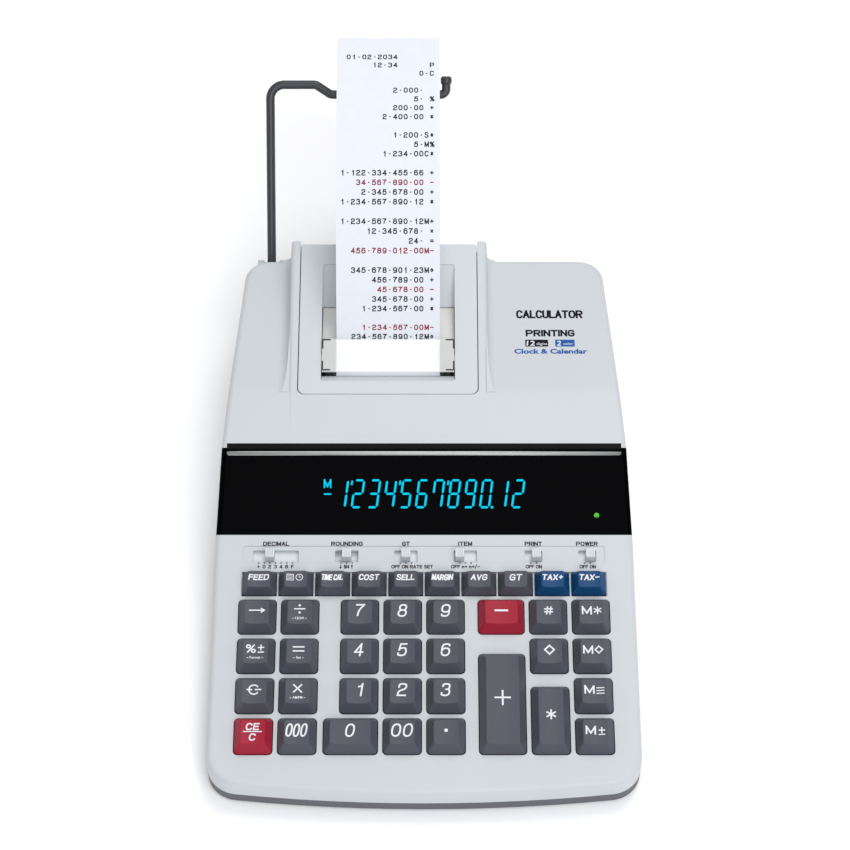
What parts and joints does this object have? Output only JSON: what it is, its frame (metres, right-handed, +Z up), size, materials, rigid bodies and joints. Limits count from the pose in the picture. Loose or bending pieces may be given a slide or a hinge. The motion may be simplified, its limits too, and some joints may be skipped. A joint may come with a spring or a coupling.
{
  "type": "desk calculator",
  "caption": "Printing desk calculator: wedge case with full keyboard, slide switches, wide dark display, hinged printer cover, paper tape and a roll on a rear arm.",
  "frame": {"origin": "on the table, under the middle of the whole footprint from the front edge to the back of the paper roll", "axes": "+X to the user's right, +Y from the user towards the rear, +Z up"},
  "size_m": [0.227, 0.4272, 0.1598],
  "materials": {
    "case_plastic": "fine moulded texture, satin",
    "cover_plastic": "fine moulded texture, satin",
    "base_plastic": "moulded, satin",
    "window_plastic": "polished, nearly black",
    "clear_plastic": "clear, slightly frosted",
    "mechanism_plastic": "moulded, dark",
    "roller_rubber": "ground rubber",
    "tape_paper": "smooth bond",
    "roll_paper": "smooth bond, wound",
    "arm_steel": "dark grey coat, satin",
    "board_laminate": "solder-masked laminate",
    "display_laminate": "solder-masked laminate",
    "supply_laminate": "solder-masked laminate",
    "foot_rubber": "moulded",
    "screw_steel": "zinc plated",
    "grey_key_plastic": "moulded, satin",
    "red_key_plastic": "moulded, satin",
    "blue_key_plastic": "moulded, satin",
    "knob_plastic": "moulded, satin"
  },
  "bodies": {
    "case": {"top_shell": "case_plastic", "base_shell": "base_plastic", "display_window": "window_plastic", "printer_frame": "mechanism_plastic", "paper_tape": "tape_paper", "key_board": "board_laminate", "display_board": "display_laminate", "power_board": "supply_laminate", "rubber_feet": "foot_rubber", "case_screws": "screw_steel"},
    "cover": {"printer_cover": "cover_plastic", "tear_cutter": "clear_plastic"},
    "arm": {"paper_arm": "arm_steel"},
    "roll": {"paper_roll": "roll_paper"},
    "platen": {"platen_roller": "roller_rubber"},
    "switch_decimal": {"switch_decimal": "knob_plastic"},
    "switch_rounding": {"switch_rounding": "knob_plastic"},
    "switch_total": {"switch_total": "knob_plastic"},
    "switch_item": {"switch_item": "knob_plastic"},
    "switch_print": {"switch_print": "knob_plastic"},
    "switch_power": {"switch_power": "knob_plastic"},
    "key_clear": {"key_clear": "red_key_plastic"},
    "key_000": {"key_000": "grey_key_plastic"},
    "key_00": {"key_00": "grey_key_plastic"},
    "key_point": {"key_point": "grey_key_plastic"},
    "key_memory_plus": {"key_memory_plus": "grey_key_plastic"},
    "key_sign": {"key_sign": "grey_key_plastic"},
    "key_multiply": {"key_multiply": "grey_key_plastic"},
    "key_1": {"key_1": "grey_key_plastic"},
    "key_2": {"key_2": "grey_key_plastic"},
    "key_3": {"key_3": "grey_key_plastic"},
    "key_memory_minus": {"key_memory_minus": "grey_key_plastic"},
    "key_percent": {"key_percent": "grey_key_plastic"},
    "key_equals": {"key_equals": "grey_key_plastic"},
    "key_4": {"key_4": "grey_key_plastic"},
    "key_5": {"key_5": "grey_key_plastic"},
    "key_6": {"key_6": "grey_key_plastic"},
    "key_subtotal": {"key_subtotal": "grey_key_plastic"},
    "key_memory_subtotal": {"key_memory_subtotal": "grey_key_plastic"},
    "key_shift": {"key_shift": "grey_key_plastic"},
    "key_divide": {"key_divide": "grey_key_plastic"},
    "key_7": {"key_7": "grey_key_plastic"},
    "key_8": {"key_8": "grey_key_plastic"},
    "key_9": {"key_9": "grey_key_plastic"},
    "key_minus": {"key_minus": "red_key_plastic"},
    "key_item_count": {"key_item_count": "grey_key_plastic"},
    "key_memory_total": {"key_memory_total": "grey_key_plastic"},
    "key_0": {"key_0": "grey_key_plastic"},
    "key_plus": {"key_plus": "grey_key_plastic"},
    "key_total": {"key_total": "grey_key_plastic"},
    "key_feed": {"key_feed": "grey_key_plastic"},
    "key_clock": {"key_clock": "grey_key_plastic"},
    "key_time": {"key_time": "grey_key_plastic"},
    "key_cost": {"key_cost": "grey_key_plastic"},
    "key_sell": {"key_sell": "grey_key_plastic"},
    "key_margin": {"key_margin": "grey_key_plastic"},
    "key_average": {"key_average": "grey_key_plastic"},
    "key_grand_total": {"key_grand_total": "grey_key_plastic"},
    "key_tax_plus": {"key_tax_plus": "blue_key_plastic"},
    "key_tax_minus": {"key_tax_minus": "blue_key_plastic"}
  },
  "joints": [
    {"name": "cover_hinge", "type": "hinge", "parent": "case", "child": "cover", "pos_m": [-0.02, 0.10233, 0.07421], "axis": [-1, 0, 0], "range_deg": [0, 70]},
    {"name": "arm_pivot", "type": "hinge", "parent": "case", "child": "arm", "pos_m": [-0.0885, 0.11482, 0.045], "axis": [-1, 0, 0], "range_deg": [0, 35]},
    {"name": "roll_spin", "type": "hinge", "parent": "arm", "child": "roll", "pos_m": [-0.02, 0.18661, 0.11384], "axis": [1, 0, 0], "continuous": true},
    {"name": "platen_spin", "type": "hinge", "parent": "case", "child": "platen", "pos_m": [-0.02, 0.02636, 0.05741], "axis": [1, 0, 0], "continuous": true},
    {"name": "switch_decimal_slide", "type": "slide", "parent": "case", "child": "switch_decimal", "axis": [1, 0, 0], "range_m": [-0.0061, 0.0122]},
    {"name": "switch_rounding_slide", "type": "slide", "parent": "case", "child": "switch_rounding", "axis": [1, 0, 0], "range_m": [-0.00305, 0.00305]},
    {"name": "switch_total_slide", "type": "slide", "parent": "case", "child": "switch_total", "axis": [1, 0, 0], "range_m": [-0.00305, 0.00305]},
    {"name": "switch_item_slide", "type": "slide", "parent": "case", "child": "switch_item", "axis": [1, 0, 0], "range_m": [0, 0.0061]},
    {"name": "switch_print_slide", "type": "slide", "parent": "case", "child": "switch_print", "axis": [1, 0, 0], "range_m": [-0.00305, 0]},
    {"name": "switch_power_slide", "type": "slide", "parent": "case", "child": "switch_power", "axis": [1, 0, 0], "range_m": [-0.00305, 0]},
    {"name": "key_clear_press", "type": "slide", "parent": "case", "child": "key_clear", "axis": [0, 0.1132, -0.9936], "range_m": [0, 0.003], "stiffness_N_per_m": 150, "springref_m": -0.003},
    {"name": "key_000_press", "type": "slide", "parent": "case", "child": "key_000", "axis": [0, 0.1132, -0.9936], "range_m": [0, 0.003], "stiffness_N_per_m": 150, "springref_m": -0.003},
    {"name": "key_00_press", "type": "slide", "parent": "case", "child": "key_00", "axis": [0, 0.1132, -0.9936], "range_m": [0, 0.003], "stiffness_N_per_m": 150, "springref_m": -0.003},
    {"name": "key_point_press", "type": "slide", "parent": "case", "child": "key_point", "axis": [0, 0.1132, -0.9936], "range_m": [0, 0.003], "stiffness_N_per_m": 150, "springref_m": -0.003},
    {"name": "key_memory_plus_press", "type": "slide", "parent": "case", "child": "key_memory_plus", "axis": [0, 0.1132, -0.9936], "range_m": [0, 0.003], "stiffness_N_per_m": 150, "springref_m": -0.003},
    {"name": "key_sign_press", "type": "slide", "parent": "case", "child": "key_sign", "axis": [0, 0.1132, -0.9936], "range_m": [0, 0.003], "stiffness_N_per_m": 150, "springref_m": -0.003},
    {"name": "key_multiply_press", "type": "slide", "parent": "case", "child": "key_multiply", "axis": [0, 0.1132, -0.9936], "range_m": [0, 0.003], "stiffness_N_per_m": 150, "springref_m": -0.003},
    {"name": "key_1_press", "type": "slide", "parent": "case", "child": "key_1", "axis": [0, 0.1132, -0.9936], "range_m": [0, 0.003], "stiffness_N_per_m": 150, "springref_m": -0.003},
    {"name": "key_2_press", "type": "slide", "parent": "case", "child": "key_2", "axis": [0, 0.1132, -0.9936], "range_m": [0, 0.003], "stiffness_N_per_m": 150, "springref_m": -0.003},
    {"name": "key_3_press", "type": "slide", "parent": "case", "child": "key_3", "axis": [0, 0.1132, -0.9936], "range_m": [0, 0.003], "stiffness_N_per_m": 150, "springref_m": -0.003},
    {"name": "key_memory_minus_press", "type": "slide", "parent": "case", "child": "key_memory_minus", "axis": [0, 0.1132, -0.9936], "range_m": [0, 0.003], "stiffness_N_per_m": 150, "springref_m": -0.003},
    {"name": "key_percent_press", "type": "slide", "parent": "case", "child": "key_percent", "axis": [0, 0.1132, -0.9936], "range_m": [0, 0.003], "stiffness_N_per_m": 150, "springref_m": -0.003},
    {"name": "key_equals_press", "type": "slide", "parent": "case", "child": "key_equals", "axis": [0, 0.1132, -0.9936], "range_m": [0, 0.003], "stiffness_N_per_m": 150, "springref_m": -0.003},
    {"name": "key_4_press", "type": "slide", "parent": "case", "child": "key_4", "axis": [0, 0.1132, -0.9936], "range_m": [0, 0.003], "stiffness_N_per_m": 150, "springref_m": -0.003},
    {"name": "key_5_press", "type": "slide", "parent": "case", "child": "key_5", "axis": [0, 0.1132, -0.9936], "range_m": [0, 0.003], "stiffness_N_per_m": 150, "springref_m": -0.003},
    {"name": "key_6_press", "type": "slide", "parent": "case", "child": "key_6", "axis": [0, 0.1132, -0.9936], "range_m": [0, 0.003], "stiffness_N_per_m": 150, "springref_m": -0.003},
    {"name": "key_subtotal_press", "type": "slide", "parent": "case", "child": "key_subtotal", "axis": [0, 0.1132, -0.9936], "range_m": [0, 0.003], "stiffness_N_per_m": 150, "springref_m": -0.003},
    {"name": "key_memory_subtotal_press", "type": "slide", "parent": "case", "child": "key_memory_subtotal", "axis": [0, 0.1132, -0.9936], "range_m": [0, 0.003], "stiffness_N_per_m": 150, "springref_m": -0.003},
    {"name": "key_shift_press", "type": "slide", "parent": "case", "child": "key_shift", "axis": [0, 0.1132, -0.9936], "range_m": [0, 0.003], "stiffness_N_per_m": 150, "springref_m": -0.003},
    {"name": "key_divide_press", "type": "slide", "parent": "case", "child": "key_divide", "axis": [0, 0.1132, -0.9936], "range_m": [0, 0.003], "stiffness_N_per_m": 150, "springref_m": -0.003},
    {"name": "key_7_press", "type": "slide", "parent": "case", "child": "key_7", "axis": [0, 0.1132, -0.9936], "range_m": [0, 0.003], "stiffness_N_per_m": 150, "springref_m": -0.003},
    {"name": "key_8_press", "type": "slide", "parent": "case", "child": "key_8", "axis": [0, 0.1132, -0.9936], "range_m": [0, 0.003], "stiffness_N_per_m": 150, "springref_m": -0.003},
    {"name": "key_9_press", "type": "slide", "parent": "case", "child": "key_9", "axis": [0, 0.1132, -0.9936], "range_m": [0, 0.003], "stiffness_N_per_m": 150, "springref_m": -0.003},
    {"name": "key_minus_press", "type": "slide", "parent": "case", "child": "key_minus", "axis": [0, 0.1132, -0.9936], "range_m": [0, 0.003], "stiffness_N_per_m": 150, "springref_m": -0.003},
    {"name": "key_item_count_press", "type": "slide", "parent": "case", "child": "key_item_count", "axis": [0, 0.1132, -0.9936], "range_m": [0, 0.003], "stiffness_N_per_m": 150, "springref_m": -0.003},
    {"name": "key_memory_total_press", "type": "slide", "parent": "case", "child": "key_memory_total", "axis": [0, 0.1132, -0.9936], "range_m": [0, 0.003], "stiffness_N_per_m": 150, "springref_m": -0.003},
    {"name": "key_0_press", "type": "slide", "parent": "case", "child": "key_0", "axis": [0, 0.1132, -0.9936], "range_m": [0, 0.003], "stiffness_N_per_m": 150, "springref_m": -0.003},
    {"name": "key_plus_press", "type": "slide", "parent": "case", "child": "key_plus", "axis": [0, 0.1132, -0.9936], "range_m": [0, 0.003], "stiffness_N_per_m": 150, "springref_m": -0.003},
    {"name": "key_total_press", "type": "slide", "parent": "case", "child": "key_total", "axis": [0, 0.1132, -0.9936], "range_m": [0, 0.003], "stiffness_N_per_m": 150, "springref_m": -0.003},
    {"name": "key_feed_press", "type": "slide", "parent": "case", "child": "key_feed", "axis": [0, 0.1132, -0.9936], "range_m": [0, 0.003], "stiffness_N_per_m": 150, "springref_m": -0.003},
    {"name": "key_clock_press", "type": "slide", "parent": "case", "child": "key_clock", "axis": [0, 0.1132, -0.9936], "range_m": [0, 0.003], "stiffness_N_per_m": 150, "springref_m": -0.003},
    {"name": "key_time_press", "type": "slide", "parent": "case", "child": "key_time", "axis": [0, 0.1132, -0.9936], "range_m": [0, 0.003], "stiffness_N_per_m": 150, "springref_m": -0.003},
    {"name": "key_cost_press", "type": "slide", "parent": "case", "child": "key_cost", "axis": [0, 0.1132, -0.9936], "range_m": [0, 0.003], "stiffness_N_per_m": 150, "springref_m": -0.003},
    {"name": "key_sell_press", "type": "slide", "parent": "case", "child": "key_sell", "axis": [0, 0.1132, -0.9936], "range_m": [0, 0.003], "stiffness_N_per_m": 150, "springref_m": -0.003},
    {"name": "key_margin_press", "type": "slide", "parent": "case", "child": "key_margin", "axis": [0, 0.1132, -0.9936], "range_m": [0, 0.003], "stiffness_N_per_m": 150, "springref_m": -0.003},
    {"name": "key_average_press", "type": "slide", "parent": "case", "child": "key_average", "axis": [0, 0.1132, -0.9936], "range_m": [0, 0.003], "stiffness_N_per_m": 150, "springref_m": -0.003},
    {"name": "key_grand_total_press", "type": "slide", "parent": "case", "child": "key_grand_total", "axis": [0, 0.1132, -0.9936], "range_m": [0, 0.003], "stiffness_N_per_m": 150, "springref_m": -0.003},
    {"name": "key_tax_plus_press", "type": "slide", "parent": "case", "child": "key_tax_plus", "axis": [0, 0.1132, -0.9936], "range_m": [0, 0.003], "stiffness_N_per_m": 150, "springref_m": -0.003},
    {"name": "key_tax_minus_press", "type": "slide", "parent": "case", "child": "key_tax_minus", "axis": [0, 0.1132, -0.9936], "range_m": [0, 0.003], "stiffness_N_per_m": 150, "springref_m": -0.003}
  ],
  "couplings": [
    {"joint": "platen_spin", "follows": "roll_spin", "ratio": 4.5}
  ]
}
